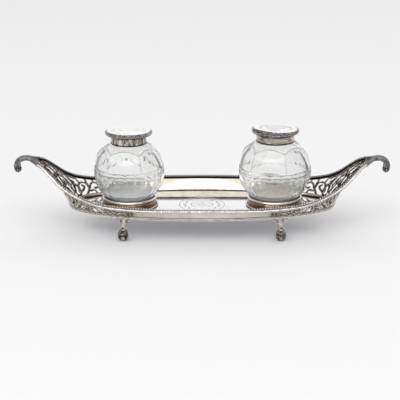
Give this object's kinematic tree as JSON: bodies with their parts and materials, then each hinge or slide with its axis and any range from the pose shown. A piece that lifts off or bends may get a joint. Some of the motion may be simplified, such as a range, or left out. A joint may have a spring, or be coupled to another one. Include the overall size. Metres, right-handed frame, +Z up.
{
  "type": "desk inkstand",
  "caption": "Boat-shaped silver-plated tray on claw-and-ball feet with a pierced gallery, curled end handles and cut-glass ink bottles with hinged lids.",
  "frame": {"origin": "middle of the inkstand, on the table plane under the feet", "axes": "+X along the tray towards the right handle, +Y towards the back with the hinges, +Z up"},
  "size_m": [0.2982, 0.0962, 0.084],
  "materials": {
    "silver_plate": "silver-plated nickel silver, polished, darkened in the recesses",
    "tarnished_silver_plate": "silver plate toned brown",
    "silver_mount": "polished silver plate with engine-turned lines",
    "cut_glass": "clear lead glass, wheel-cut and polished",
    "plaster": "matt plaster"
  },
  "bodies": {
    "stand": {"tray_floor": "silver_plate", "gallery_panel_front": "silver_plate", "gallery_panel_back": "silver_plate", "gallery_end_left": "silver_plate", "gallery_end_right": "silver_plate", "rim_front": "silver_plate", "rim_back": "silver_plate", "handle_left": "silver_plate", "handle_right": "silver_plate", "foot_front_left": "silver_plate", "foot_front_right": "silver_plate", "foot_back_left": "silver_plate", "foot_back_right": "silver_plate", "holder_ring_left": "tarnished_silver_plate", "holder_ring_right": "tarnished_silver_plate"},
    "bottle_left": {"bottle_left": "cut_glass", "neck_collar_left": "silver_mount", "collar_cement_left": "plaster", "hinge_pin_left": "silver_mount"},
    "lid_left": {"lid_left": "silver_mount", "lid_moulding_left": "silver_mount"},
    "bottle_right": {"bottle_right": "cut_glass", "neck_collar_right": "silver_mount", "collar_cement_right": "plaster", "hinge_pin_right": "silver_mount"},
    "lid_right": {"lid_right": "silver_mount", "lid_moulding_right": "silver_mount"}
  },
  "joints": [
    {"name": "bottle_left_lift", "type": "slide", "parent": "stand", "child": "bottle_left", "axis": [0, 0, 1], "range_m": [0, 0.06]},
    {"name": "lid_left_hinge", "type": "hinge", "parent": "bottle_left", "child": "lid_left", "pos_m": [-0.0582, 0.0205, 0.07852], "axis": [-1, 0, 0], "range_deg": [0, 100]},
    {"name": "bottle_right_lift", "type": "slide", "parent": "stand", "child": "bottle_right", "axis": [0, 0, 1], "range_m": [0, 0.06]},
    {"name": "lid_right_hinge", "type": "hinge", "parent": "bottle_right", "child": "lid_right", "pos_m": [0.0582, 0.0205, 0.08001], "axis": [-1, 0, 0], "range_deg": [0, 100]}
  ]
}
